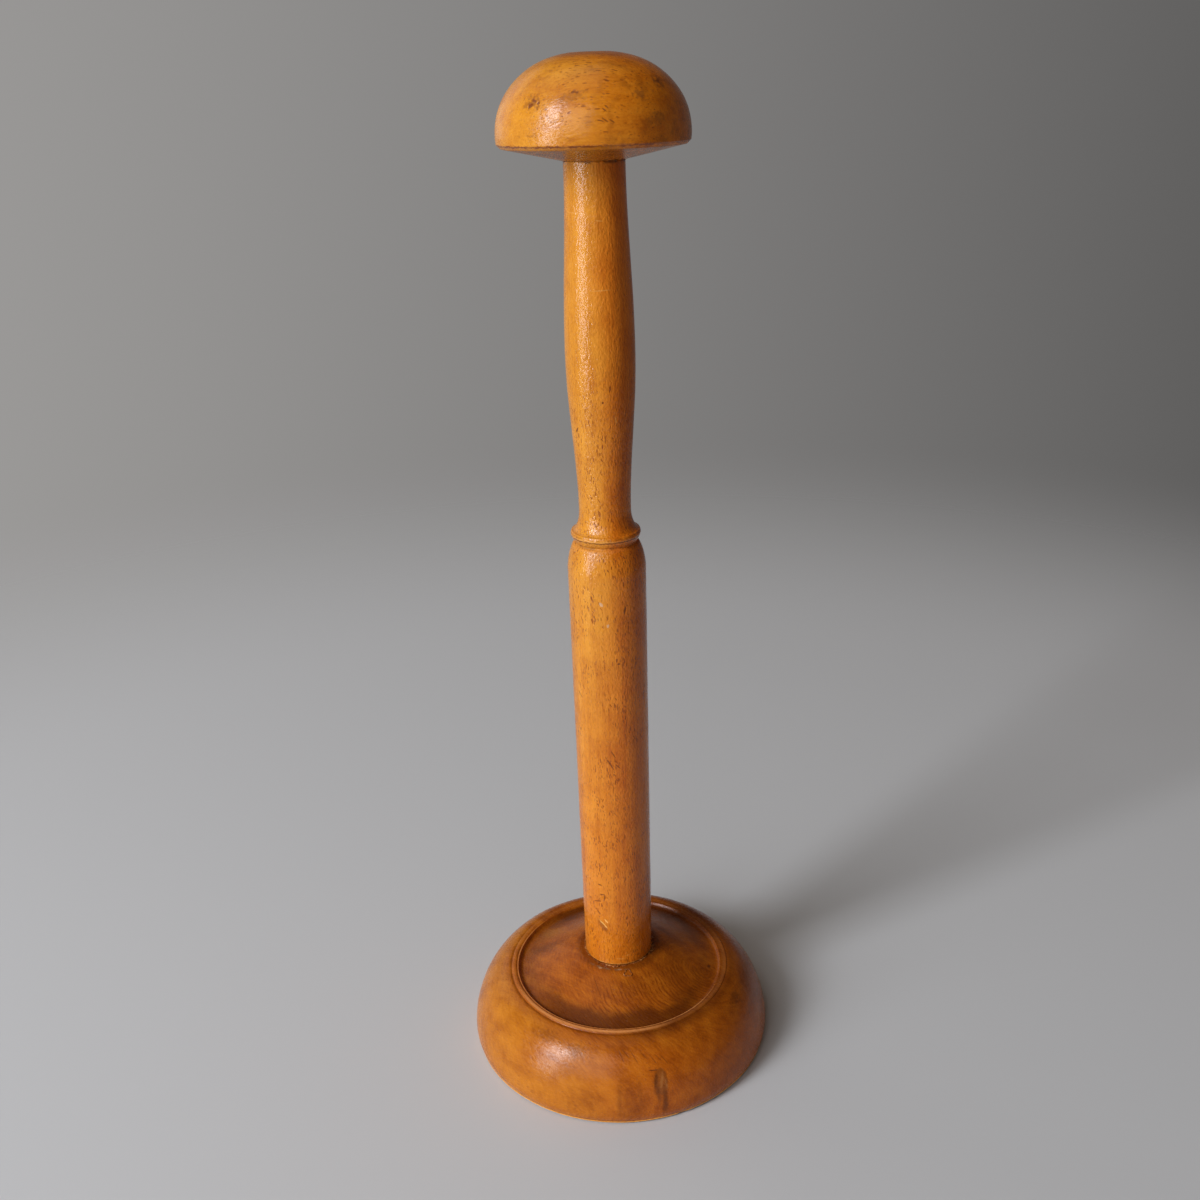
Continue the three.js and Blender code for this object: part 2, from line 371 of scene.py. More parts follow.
class Turning:
    """Rings of points round +Z, which can be dented before they become a mesh."""

    def __init__(self, outline, segments):
        outline = np.array(outline)
        self.outline = outline
        self.angles = np.arange(segments) * 2 * math.pi / segments
        lengths = np.hypot(*np.diff(outline, axis=0).T)
        self.run = np.concatenate([[0], np.cumsum(lengths)])[1:-1]
        rings = outline[1:-1]
        way = outline[2:] - outline[:-2]
        way /= np.hypot(*way.T)[:, None]
        self.points = self.turned(rings[:, 0], rings[:, 1])
        self.normals = self.turned(way[:, 1], -way[:, 0])
        self.lift = np.zeros((len(rings), segments))

    def turned(self, reach, level):
        """Rings of vectors, each ring with its reach from the axis and its level."""
        parts = (reach, np.cos(self.angles)), (reach, np.sin(self.angles)), (level, self.angles * 0 + 1)
        return np.stack([np.outer(*part) for part in parts], 2)

    def wander(self, size, depth, seed):
        """Uneven hand work: noise of one size in millimetres, deep at most by the given depth."""
        shift = Vector((seed, 2 * seed, 3 * seed))
        for ring, row in enumerate(self.points):
            for segment, point in enumerate(row):
                self.lift[ring, segment] -= depth * max(0, 0.5 + noise.noise(Vector(point) / size + shift))

    def wear_bead(self):
        """The rim's bead is whole toward the front left and almost worn away round the back."""
        radius, height = self.outline[1:-1].T
        foot = RIM_HEIGHT - RIM_BEAD_RISE
        on_bead = (radius > RIM_RADIUS - RIM_BEAD_WIDTH) & (radius < RIM_RADIUS) & (height > foot)
        rise = np.where(on_bead, height - foot, 0)
        turns = np.degrees(self.angles) + 90 - BEAD_WHOLE_TURN
        apart = abs((turns + 180) % 360 - 180)
        uneven = [noise.noise(way_at(angle) * 3) for angle in self.angles]
        wear = (apart - BEAD_WHOLE_REACH) / (BEAD_WORN_REACH - BEAD_WHOLE_REACH) + 0.4 * np.array(uneven)
        self.lift -= rise[:, None] * np.clip(wear, 0.05, 0.9)[None, :]

    def dent(self, turn, depth, along, across, tilt=0, height=None, radius=None):
        """A soft hollow with half lengths along the outline and round the turning."""
        (reach, level), _ = place_on(self.outline, height, radius)
        ring = np.argmin(np.hypot(self.outline[1:-1, 0] - reach, self.outline[1:-1, 1] - level))
        self.dent_at(ring, turn, depth, along, across, tilt)

    def dent_at(self, ring, turn, depth, along, across, tilt):
        sideways = (self.angles - math.radians(turn - 90) + math.pi) % (2 * math.pi) - math.pi
        lean = math.radians(tilt)
        up = (self.run - self.run[ring])[:, None]
        side = (sideways * self.outline[ring + 1, 0])[None, :]
        far = np.hypot((up * math.cos(lean) + side * math.sin(lean)) / along,
                       (side * math.cos(lean) - up * math.sin(lean)) / across)
        self.lift -= depth * np.exp(-1.5 * far ** 2)

    def mesh(self, name):
        points = (self.points + self.normals * self.lift[:, :, None]) * MM
        count, segments = self.lift.shape
        ends = self.outline[[0, -1], 1] * MM
        vertices = [(0, 0, ends[0]), *map(tuple, points.reshape(-1, 3)), (0, 0, ends[1])]
        here = np.arange(count * segments).reshape(count, segments) + 1
        after = np.roll(here, -1, 1)
        sides = np.stack([here[:-1], after[:-1], after[1:], here[1:]], 2).reshape(-1, 4)
        faces = sides.tolist()
        faces += [(0, int(b), int(a)) for a, b in zip(here[0], after[0])]
        faces += [(int(a), int(b), len(vertices) - 1) for a, b in zip(here[-1], after[-1])]
        mesh = bpy.data.meshes.new(name)
        mesh.from_pydata(vertices, [], faces)
        mesh.shade_smooth()
        return mesh


# Materials

# Euler angles that lay a pattern's first axis along the grain
UPRIGHT = (0, math.radians(90), 0)
LEANING = (0, math.radians(55), 0)
LEVEL = (0, 0, 0)
BASE_GRAIN = (0, 0, math.radians(-40))


class Shader:
    """The nodes of a material or a world, built by plain calls. Most calls return a socket."""

    def __init__(self, owner, coordinates="Object"):
        owner.use_nodes = True
        self.owner = owner
        self.tree = owner.node_tree
        self.tree.nodes.clear()
        self.place = self.add("TexCoord", {}, coordinates)

    def add(self, kind, inputs, output=0, **settings):
        """A new node. Each input is another node's socket, a number, a vector or a colour."""
        node = self.tree.nodes.new("ShaderNode" + kind)
        for key, value in settings.items():
            setattr(node, key, value)
        for key, value in inputs.items():
            socket = node.inputs[key]
            if isinstance(value, bpy.types.NodeSocket):
                self.tree.links.new(value, socket)
            elif socket.type == "RGBA":
                socket.default_value = (*value, 1)
            else:
                socket.default_value = value
        return node.outputs[output]

    def show(self, surface, kind="OutputMaterial"):
        """Make a shader the surface of the material or world, and return that owner."""
        output = self.tree.nodes.new("ShaderNode" + kind)
        self.tree.links.new(surface, output.inputs["Surface"])
        return self.owner

    def finish(self, **inputs):
        """Make the material a principled one, with the given inputs."""
        named = {key.replace("_", " "): value for key, value in inputs.items()}
        return self.show(self.add("BsdfPrincipled", named))

    def math(self, operation, first, second=0.0):
        return self.add("Math", {0: first, 1: second}, operation=operation)

    def times(self, *values):
        return reduce(lambda total, value: self.math("MULTIPLY", total, value), values)

    def plus(self, *values):
        return reduce(lambda total, value: self.math("ADD", total, value), values)

    def strongest(self, *values):
        return reduce(lambda total, value: self.math("MAXIMUM", total, value), values)

    def length(self, vector):
        return self.add("VectorMath", {0: vector}, 1, operation="LENGTH")

    def scaled(self, vector, factors):
        return self.add("VectorMath", {0: vector, 1: factors}, operation="MULTIPLY")

    def part(self, axis):
        """The part of the place that lies along one axis."""
        return self.add("SeparateXYZ", {0: self.place}, axis)

    @cached_property
    def sideways(self):
        """Distance to the viewer's right of the axis, in millimetres."""
        return self.math("DIVIDE", self.part("X"), MM)

    @cached_property
    def height(self):
        """Height in millimetres."""
        return self.math("DIVIDE", self.part("Z"), MM)

    @cached_property
    def radius(self):
        """Distance from the turning axis in millimetres."""
        return self.math("DIVIDE", self.length(self.scaled(self.place, (1, 1, 0))), MM)

    def toward(self, turn):
        """How far a place lies toward a turn: 1 there, 0 at a right angle to it, -1 behind."""
        inputs = {0: self.place, 1: way_at(math.radians(turn - 90))}
        reach = self.add("VectorMath", inputs, 1, operation="DOT_PRODUCT")
        return self.math("DIVIDE", reach, self.times(self.radius, MM))

    def stretched(self, turn, lengths, origin=(0, 0, 0)):
        """Coordinates from an origin, turned by an Euler angle and counted in the given lengths."""
        inputs = {
            "Vector": self.place,
            "Location": Vector(origin) * MM,
            "Rotation": turn,
            "Scale": Vector(lengths) * MM,
        }
        return self.add("Mapping", inputs, vector_type="TEXTURE")

    def noise(self, vector, detail=2.0, roughness=0.5):
        inputs = {"Vector": vector, "Scale": 1, "Detail": detail, "Roughness": roughness}
        return self.add("TexNoise", inputs)

    def grit(self, size, detail=2.0):
        """Even noise with grains of one size in millimetres."""
        return self.noise(self.stretched(LEVEL, (size, size, size)), detail)

    def swing(self, value, reach):
        """Noise moved from around a half to around zero, and scaled."""
        return self.times(self.math("SUBTRACT", value, 0.5), reach)

    @cached_property
    def fray(self):
        """Fine noise around zero that roughens the edges of marks."""
        return self.swing(self.grit(1.1), 2)

    def frayed(self, value, reach):
        """A value made ragged by the fine noise."""
        return self.plus(value, self.times(self.fray, reach))

    def slope(self, value, start, end, low_end, high_end, shape="LINEAR"):
        inputs = {"Value": value, 1: start, 2: end, 3: low_end, 4: high_end}
        return self.add("MapRange", inputs, interpolation_type=shape)

    def step(self, value, start, end, low_end=0.0, high_end=1.0):
        """A smooth change from one strength to another as a value goes from start to end."""
        return self.slope(value, start, end, low_end, high_end, "SMOOTHSTEP")

    def patchy(self, size, weakest):
        """Strength in soft patches of one size in millimetres, from the weakest up to 1."""
        return self.step(self.grit(size), 0.4, 0.6, weakest)

    def band(self, value, low_side, high_side, blur):
        """1 between two sides and 0 outside them, with blurred edges."""
        rising = self.step(value, low_side - blur, low_side + blur)
        falling = self.step(value, high_side - blur, high_side + blur, 1, 0)
        return self.times(rising, falling)

    def ramp(self, value, *stops):
        colour = self.add("ValToRGB", {0: value})
        elements = colour.node.color_ramp.elements
        while len(elements) < len(stops):
            elements.new(0.5)
        for element, (position, stop) in zip(elements, stops):
            element.position = position
            element.color = (*stop, 1)
        return colour

    def mix(self, share, below, above):
        """A share of one colour over another."""
        return self.add("Mix", {0: share, 6: below, 7: above}, 2, data_type="RGBA")

    def coated(self, colour, *layers):
        """A colour with layers laid over it in turn. Each has a share, its strength and a colour."""
        for share, strength, above in layers:
            colour = self.mix(self.times(share, strength), colour, above)
        return colour

    def bump(self, height, depth, below=None):
        """A bump whose height of 1 stands for the given depth in millimetres."""
        inputs = {"Height": height, "Distance": depth * MM}
        if below is not None:
            inputs["Normal"] = below
        return self.add("Bump", inputs)

    def dashes(self, turn, spacing, reach, seed=0):
        """Scattered flecks along a direction, at most one in each cell of the given spacing. The
        longest reach the given share of their cell to each side."""
        vector = self.stretched(turn, spacing, (seed, seed, seed))
        distance = self.add("TexVoronoi", {"Vector": vector, "Scale": 1.0}, "Distance")
        size = self.step(distance.node.outputs["Color"], 0.22, 0.65, 0, reach)
        edge = self.math("SUBTRACT", self.frayed(distance, reach * 0.3), size)
        return self.step(edge, -0.06, 0, 1, 0)

    def rings(self, distance, spacing, waver):
        """Growth rings as thin dark lines at equal distances from a pith."""
        count = self.plus(self.math("DIVIDE", distance, spacing), waver)
        return self.step(self.math("SINE", self.times(count, 2 * math.pi)), 0.1, 1)

    def arcs(self, distance, spacing, length):
        """Fine grain that runs round a pith, as tone around a half."""
        across = self.add("CombineXYZ", {0: self.math("DIVIDE", distance, spacing)})
        along = self.stretched(LEVEL, (length, length, length))
        return self.noise(self.add("VectorMath", {0: across, 1: along}), 2, 0.6)

    def oval(self, spot, along, across, tilt=0):
        """Distance from a spot, 1 at the edge of an oval with these half lengths along the
        outline and round the turning. A positive tilt leans its top to the right."""
        centre, frame_turn = spot
        turn = (frame_turn @ Matrix.Rotation(math.radians(tilt), 3, "Z")).to_euler()
        return self.length(self.stretched(turn, (along, across, 2 * max(along, across)), centre))

    def mark(self, spot, along, across, tilt=0, blur=0.3, ragged=0.35, strength=1.0):
        """A soft oval with ragged edges."""
        distance = self.frayed(self.oval(spot, along, across, tilt), ragged)
        return self.step(distance, 1 - blur, 1 + blur, strength, 0)

    def stroke(self, start, end, width, ragged=0.35, strength=1.0):
        """A thin line between two spots."""
        spot, half_length = between(start, end)
        return self.mark(spot, half_length, width / 2, ragged=ragged, strength=strength)


# Woods

BASE_OUTLINE = base_outline()
COLUMN_OUTLINE = column_outline()
HEAD_OUTLINE = head_outline()

# Spots by turn and height
on_base = partial(spot, BASE_OUTLINE)
on_column = partial(spot, COLUMN_OUTLINE)
on_head = partial(spot, HEAD_OUTLINE)


def on_top(turn, radius):
    """A spot on the base by turn and radius."""
    return spot(BASE_OUTLINE, turn, radius=radius)


FRONT_KNOT = on_base(14.3, 16.1)
DISH_KNOT = on_top(81.6, 36.8)

# Where the pith of the base's wood lies, near the knot in the dish
PITH = (34, -9, 30)

# Specular level of the varnish, lower on the worn base and on the glue
GLOSS = 0.42
DULL_GLOSS = 0.27

# How far a wood's tone swings from a half to its deepest and palest colours
TONE_SPREAD = 0.14

# Linear colours of what lies in and on the varnish; some of them also paint shade, highlights and glints
FLECK = (0.24, 0.045, 0.001)
HOLE = (0.12, 0.02, 0.001)
SCRATCH = (0.17, 0.034, 0.002)
# Also painted shade: in the column's groove and under its collar's lip, in the cove inside the rim, along
# the rim at the right, as the column's shadow in the dish, and at the base's foot.
DIRT_AND_SHADE = (0.09, 0.018, 0.002)
SMUDGE = (0.26, 0.08, 0.014)
MOTTLE = (0.3, 0.07, 0.004)
# Dust and painted shade under the head.
UNDERSIDE_DUST_AND_SHADE = (0.3, 0.085, 0.008)
KNOT = (0.27, 0.075, 0.012)
KNOT_HEART = (0.42, 0.15, 0.035)
KNOT_DARK = (0.13, 0.03, 0.004)
ARRIS = (0.24, 0.045, 0.006)
# Painted light on the dish's left slope.
GOLDEN_LIT_PATCH = (0.52, 0.175, 0.012)
# The bare colours also paint highlights: on the collar's lip toward the lit front left, on the rim bead's
# ridge, and on the base's lower edge.
BARE_AND_HIGHLIGHT = (0.78, 0.36, 0.08)
BARE_BEAD_AND_HIGHLIGHT = (0.78, 0.31, 0.09)
BARE_FOOT_AND_HIGHLIGHT = (0.9, 0.42, 0.08)
# Chipped varnish painted near white, as a glint.
CHIP_GLINT = (0.95, 0.5, 0.13)
CHALK = (0.72, 0.5, 0.33)
GLUE_LINE = (0.2, 0.095, 0.04)
GLUE_LUMP = (0.5, 0.28, 0.14)
UNDERSIDE_PALE = (0.5, 0.24, 0.09)
UNDERSIDE_DARK = (0.32, 0.13, 0.045)


def pores(sh, turn):
    """Short fine lines along the grain, as tone around a half."""
    return sh.noise(sh.stretched(turn, (1.8, 0.5, 0.5)), 2, 0.6)


def streaks(sh, turn, long, wide, fine):
    """Tone along the grain around a half: broad streaks, thin lines, soft patches and pores."""
    broad = sh.noise(sh.stretched(turn, (long, wide, wide)), 3, 0.55)
    thin = sh.noise(sh.stretched(turn, (long / 3, 0.6, 0.6)), 3, 0.6)
    tone = sh.plus(sh.times(broad, 0.45), sh.times(thin, 0.25), sh.times(sh.grit(8, 3), 0.3))
    return sh.plus(tone, sh.swing(fine, 0.3))


def tinted(sh, tone, deep, middle, pale):
    return sh.ramp(tone, (0.5 - TONE_SPREAD, deep), (0.5, middle), (0.5 + TONE_SPREAD, pale))


def lit_side_share(sh, radius, middle):
    """Painted light: the share of the wood painted a paler gold toward the lit left, against a
    deeper red toward the shaded right. The change lies round a middle, which is a share of
    the radius to the right of the axis."""
    across = sh.plus(sh.math("DIVIDE", sh.sideways, radius), sh.swing(sh.grit(25), 0.7))
    return sh.step(across, middle - 0.55, middle + 0.55, 1, 0)


def mixed_flecks(sh, turn, seed, small_strength):
    """Ray flecks of two sizes along a grain."""
    small = sh.dashes(turn, (2, 0.55, 0.55), 0.32, seed)
    large = sh.dashes(turn, (4.4, 0.9, 0.9), 0.24, seed + 40)
    return sh.strongest(sh.times(small, small_strength), large)


def varnish(sh, turn, rough, grain_depth, fine, dents, gloss=GLOSS):
    """Roughness and bump of old brushed varnish: dull and shiny grains over a rippled ground.
    Its roughness, and the depth of its grains in millimetres, are numbers or sockets."""
    grains = sh.noise(sh.stretched(turn, (1.3, 0.75, 0.75), (9, 9, 9)), 1)
    roughness = sh.plus(rough, sh.swing(grains, 0.4), sh.times(dents, 0.1))
    normal = sh.bump(sh.grit(6), 0.12)
    normal = sh.bump(sh.times(grains, grain_depth), 1, normal)
    normal = sh.bump(fine, 0.06, normal)
    normal = sh.bump(sh.times(dents, -1), 0.025, normal)
    return {"Roughness": roughness, "Normal": normal, "Specular_IOR_Level": gloss}


def marks(sh, place, rows, **look):
    """The strongest of several marks. A row holds its place's two numbers, then its half lengths
    along and across, tilt, blur, raggedness and strength, as far as they are given."""
    return sh.strongest(*[sh.mark(place(*row[:2]), *row[2:], **look) for row in rows])


def strokes(sh, place, rows):
    """The strongest of several strokes. A row holds the two numbers of each end's place, then
    its width, raggedness and strength, as far as they are given."""
    return sh.strongest(*[sh.stroke(place(*row[:2]), place(*row[2:4]), *row[4:]) for row in rows])


def column_flecks(sh):
    """Ray flecks in drifts, some of them leaning, fewer toward the head."""
    small = sh.dashes(UPRIGHT, (2.3, 0.52, 0.52), 0.36)
    large = sh.dashes(UPRIGHT, (4.6, 0.85, 0.85), 0.25, seed=40)
    leaning = sh.dashes(LEANING, (4, 0.8, 0.8), 0.22, seed=80)
    drift = sh.times(sh.patchy(12, 0.3), sh.step(sh.height, 240, 300, 1, 0.3))
    return sh.times(sh.strongest(sh.times(small, 0.8), large, leaning), drift)


def column_holes(sh):
    """Pits, small cracks, and dark scores near the foot and at the middle of the shaft."""
    pits = marks(sh, on_column, (
        (14.3, 268.6, 1.1, 0.3, 8),
        (2, 264.1, 0.35, 0.35),
        (25, 190, 1.6, 0.35, 10),
        (13.5, 169.4, 0.35, 0.5),
        (-53, 254, 1.2, 0.35, 35),
        (-29, 74.3, 0.3, 0.9, 10),
    ))
    scores = strokes(sh, on_column, (
        (-41, 66, -29, 66.8, 0.5),
        (-30, 70, -20, 70.2, 0.45),
        (-20.5, 70.2, -23, 66.8, 0.5),
        (-36, 62, -30, 60.4, 0.5),
        (-70, 167, -62, 164, 0.35),
        (-58, 156.5, -49, 154.5, 0.35),
        (-11, 131.5, 2, 126, 0.5),
        (-2, 134, 5, 131, 0.35),
        (4, 128.5, 12, 126.5, 0.35),
    ))
    smear = sh.mark(on_column(-27, 55.2), 3.2, 1, -40, blur=0.6, strength=0.6)
    return sh.strongest(pits, scores, smear)


def column_scars(sh):
    """Layers of pale hairlines in the varnish, of chipped varnish painted near white as a glint, and of
    two chalky spots.
    """
    hairlines = strokes(sh, on_column, (
        (-53, 324.6, -19, 324.2, 0.45),
        (-2, 322.2, 12, 322, 0.3),
        (-13, 300.5, 20, 300.7, 0.3),
        (-4, 40.3, 10, 40, 0.35),
        (11, 41.5, 19, 41.8, 0.3),
        (23, 258.8, 26, 256.4, 0.4),
    ))
    # Chipped varnish, painted near white as a glint.
    chip_glints = strokes(sh, on_column, ((-32, 57.7, -19, 54.7, 0.7), (-23, 58.6, -17, 57.2, 0.6)))
    chalk = marks(sh, on_column, ((-10, 192.6, 0.5, 0.9, 60), (-1, 184.6, 0.8, 0.4, 20)), ragged=0.8)
    return (hairlines, 0.6, BARE_AND_HIGHLIGHT), (chip_glints, 0.9, CHIP_GLINT), (chalk, 0.6, CHALK)


def column_edges(sh, groove):
    """Layers of dark bands and of pale arris lines. The bands in the groove and just under the
    collar's lip are painted shade; a band over the lip is darker, and so is the joint below the
    head. The lip's arris is pale only toward the lit front left, as a painted highlight; the
    arris at the column's foot is worn bare all round.
    """
    height = sh.frayed(sh.height, 0.5)
    broken = sh.step(sh.grit(3), 0.42, 0.58)
    lip = groove + COLLAR_UNDERSIDE
    # Painted shade in the groove and under the collar's lip, a darker band over the lip, and a dark joint
    # line below the head.
    grime_and_shade = sh.strongest(
        sh.times(sh.band(height, groove - 0.6, groove + 0.2, 0.3), broken, 0.4),
        sh.times(sh.band(height, lip - 0.8, lip - 0.4, 0.12), 0.75),
        sh.times(sh.band(height, lip + 0.4, lip + 0.7, 0.15), broken, 0.4),
        sh.times(sh.step(height, HEAD_SEAT_HEIGHT - 1.2, HEAD_SEAT_HEIGHT - 0.3), broken, 0.7),
    )
    # Painted highlight: the lip's arris is pale toward the lit front left; the foot's arris is worn bare.
    lit_front_left = sh.step(sh.toward(-25), 0.6, 1, 0.3, 1)
    worn_and_lit_arrises = sh.strongest(
        sh.band(height, SEAT_HEIGHT + 0.1, SEAT_HEIGHT + 0.6, 0.2),
        sh.times(sh.band(height, lip - 0.3, lip + 0.2, 0.15), lit_front_left),
    )
    return (grime_and_shade, 1, DIRT_AND_SHADE), (worn_and_lit_arrises, 0.65, BARE_AND_HIGHLIGHT)


def column_wood():
    sh = Shader(bpy.data.materials.new("column_wood"))
    fine = pores(sh, UPRIGHT)
    tone = streaks(sh, UPRIGHT, 70, 5, fine)
    red = tinted(sh, tone, (0.5, 0.1, 0.003), (0.65, 0.16, 0.007), (0.76, 0.21, 0.012))
    gold = tinted(sh, tone, (0.54, 0.175, 0.011), (0.68, 0.255, 0.02), (0.78, 0.32, 0.03))
    # Painted light: paler gold toward the lit left and deeper red toward the shaded right, with less gold
    # low on the shaft, where the painted light weakens downward.
    lit_gold = sh.times(lit_side_share(sh, sh.radius, 0), sh.step(sh.height, 50, 220, 0.35, 1))
    flecks = column_flecks(sh)
    holes = column_holes(sh)
    groove = SEAT_HEIGHT + GROOVE_HEIGHT
    colour = sh.coated(
        sh.mix(lit_gold, red, gold),
        (flecks, 0.95, FLECK),
        (holes, 0.8, HOLE),
        *column_scars(sh),
        *column_edges(sh, groove),
    )
    rough = sh.plus(0.19, sh.times(sh.band(sh.height, groove - 1.5, groove + 0.6, 0.4), 0.35))
    gloss = varnish(sh, UPRIGHT, rough, 0.2, fine, sh.strongest(flecks, holes))
    return sh.finish(Base_Color=colour, **gloss)


def head_smudges(sh):
    """Dark greasy marks where hats have rubbed the dome."""
    scattered = sh.noise(sh.stretched(LEVEL, (7, 3, 3), (5, 5, 5)), 5, 0.7)
    rubbed = marks(sh, on_head, (
        (-37, 357.6, 1.7, 3, 15, 0.7, 2.4, 0.7),
        (-14, 358.6, 1.3, 3.6, -12, 0.8, 2.6, 0.45),
        (51, 362.2, 1.6, 2.2, 0, 0.6, 2.2, 0.7),
        (30, 359, 1.2, 1.8, 0, 0.7, 2, 0.6),
        (40, 352, 1.6, 2.6, 0, 0.7, 2, 0.4),
    ))
    return sh.strongest(rubbed, sh.step(scattered, 0.58, 0.7, 0, 0.5))


def head_scratches(sh):
    scratches = strokes(sh, on_head, (
        (2, 352.3, 5.5, 351.9, 0.35, 1.1),
        (5, 352.8, 8.5, 351.6, 0.35, 1.1),
        (9, 352.3, 12.5, 351.2, 0.4, 1.1),
        (5, 355.6, 8, 354.4, 0.4, 1.3),
        (7, 356.2, 9, 355.4, 0.35, 1.3),
        (9, 362.8, 12, 362.7, 0.5, 0.9),
    ))
    pits = marks(sh, on_head, (
        (-39, 356.6, 0.6, 0.9),
        (-37, 358, 0.4, 0.9, 20),
        (-34, 357.2, 0.35, 0.7),
        (-11, 360, 0.3, 0.9, 10),
    ), ragged=1.4)
    return sh.strongest(scratches, pits, sh.mark(on_head(51, 362.4), 0.5, 1.2, ragged=1.6))


def head_underside(sh):
    """Layers that darken the underside, as dust and painted shade, and the arris at the dome's
    lower edge.
    """
    edge = HEAD_SEAT_HEIGHT + UNDERSIDE_RISE + HEAD_CHAMFER_HEIGHT
    # Dust and painted shade: the underside below the dome's edge is darker.
    below = sh.step(sh.height, edge - 1.6, edge - 0.6, 1, 0)
    cloudy = sh.step(sh.grit(6, 3), 0.35, 0.65, 0.55, 0.9)
    arris = sh.band(sh.frayed(sh.height, 0.7), edge - 0.5, edge + 0.05, 0.15)
    broken = sh.step(sh.grit(6), 0.4, 0.6, 0.45, 0.9)
    return (below, cloudy, UNDERSIDE_DUST_AND_SHADE), (arris, broken, ARRIS)


def head_wood():
    sh = Shader(bpy.data.materials.new("head_wood"))
    fine = pores(sh, LEVEL)
    lines = sh.noise(sh.stretched(LEVEL, (14, 0.5, 0.5)), 3, 0.6)
    tone = sh.plus(streaks(sh, LEVEL, 30, 4, fine), sh.step(lines, 0.55, 0.7, 0, -0.09))
    red = tinted(sh, tone, (0.52, 0.12, 0.003), (0.67, 0.185, 0.007), (0.76, 0.235, 0.012))
    gold = tinted(sh, tone, (0.53, 0.165, 0.008), (0.66, 0.243, 0.015), (0.75, 0.3, 0.022))
    drift = sh.times(sh.patchy(10, 0.3), sh.step(sh.sideways, -24, -8, 0.4, 1))
    flecks = sh.times(mixed_flecks(sh, LEVEL, 15, 0.7), drift)
    scratches = head_scratches(sh)
    colour = sh.coated(
        # Painted light: paler gold toward the lit left, deeper red toward the shaded right.
        sh.mix(lit_side_share(sh, HEAD_RADIUS, 0), red, gold),
        (flecks, 0.85, FLECK),
        # Dark mottling, made stronger toward the right as painted shade.
        (sh.step(sh.grit(4, 4), 0.5, 0.66), sh.step(sh.sideways, -12, 16, 0.12, 0.5), MOTTLE),
        (head_smudges(sh), 1, SMUDGE),
        (sh.step(sh.frayed(sh.height, 0.3), 369.4, 370.9), 0.5, ARRIS),
        (scratches, 0.75, SCRATCH),
        *head_underside(sh),
    )
    grain_depth = sh.step(sh.oval(on_head(-22, 348.5), 9, 7), 0.3, 1.4, 0.13, 0.02)
    gloss = varnish(sh, LEVEL, 0.25, grain_depth, fine, sh.strongest(flecks, scratches))
    return sh.finish(Base_Color=colour, **gloss)


def base_grain(sh):
    """Tone of streaks and of growth rings round a pith, and the fine grain along the rings.
    The rings bend round the front knot."""
    from_pith = sh.length(sh.scaled(sh.stretched(UPRIGHT, (1, 1, 1), PITH), (0, 1, 1)))
    pushed = sh.step(sh.oval(FRONT_KNOT, 9, 7), 0, 1, 3, 0)
    distance = sh.plus(from_pith, sh.swing(sh.grit(16), 5), pushed)
    fine = sh.arcs(distance, 0.5, 5)
    broken = sh.step(sh.grit(2.5), 0.35, 0.6)
    lines = sh.times(sh.rings(distance, 1.5, sh.swing(sh.grit(3), 0.6)), broken)
    depth = sh.step(sh.oval(on_top(25, 30), 14, 33), 0.6, 1.1, -0.17, -0.02)
    return sh.plus(streaks(sh, BASE_GRAIN, 50, 5, fine), sh.times(lines, depth)), fine


def base_ground(sh, top, tone):
    """Red wood painted a paler gold toward the lit left as painted light, and a brown stain on the top."""
    brown = tinted(sh, tone, (0.26, 0.054, 0.003), (0.4, 0.096, 0.005), (0.52, 0.145, 0.008))
    red = tinted(sh, tone, (0.32, 0.065, 0.003), (0.455, 0.104, 0.005), (0.55, 0.142, 0.008))
    gold = tinted(sh, tone, (0.39, 0.108, 0.006), (0.5, 0.157, 0.01), (0.59, 0.2, 0.015))
    edge = sh.plus(sh.radius, sh.swing(sh.grit(22, 3), 14), sh.times(sh.toward(80), -4))
    stained = sh.times(sh.step(edge, 46, 53, 1, 0), top)
    # Painted light: paler gold toward the lit left, deeper red toward the shaded right.
    return sh.mix(stained, sh.mix(lit_side_share(sh, BASE_RADIUS, -0.2), red, gold), brown)


def base_dirt_and_shade(sh, top, whole):
    """Layers darker inside the rim, in the quirk outside the bead and round the column's foot.
    Inside the rim it is soiling and painted shade in the cove, weaker toward the left and right.
    """
    # Soiling and painted shade in the cove inside the rim.
    inner = sh.step(sh.frayed(sh.plus(sh.radius, sh.swing(sh.grit(9, 3), 8)), 0.5), 30.5, 36.5)
    outer = sh.step(sh.radius, 40.6, 41.3, 1, 0)
    right = sh.step(sh.sideways, 24, 34, 1, 0.35)
    left = sh.step(sh.sideways, -36, -20, 0.45, 1)
    quirk = sh.times(sh.band(sh.frayed(sh.radius, 0.3), 43.9, 44.8, 0.4), whole, 0.3)
    foot = sh.step(sh.frayed(sh.radius, 0.8), 15.5, 18.5, 0.5, 0)
    return (sh.times(inner, outer, right, left, 0.8), top, DIRT_AND_SHADE), (sh.strongest(quirk, foot), top, DIRT_AND_SHADE)


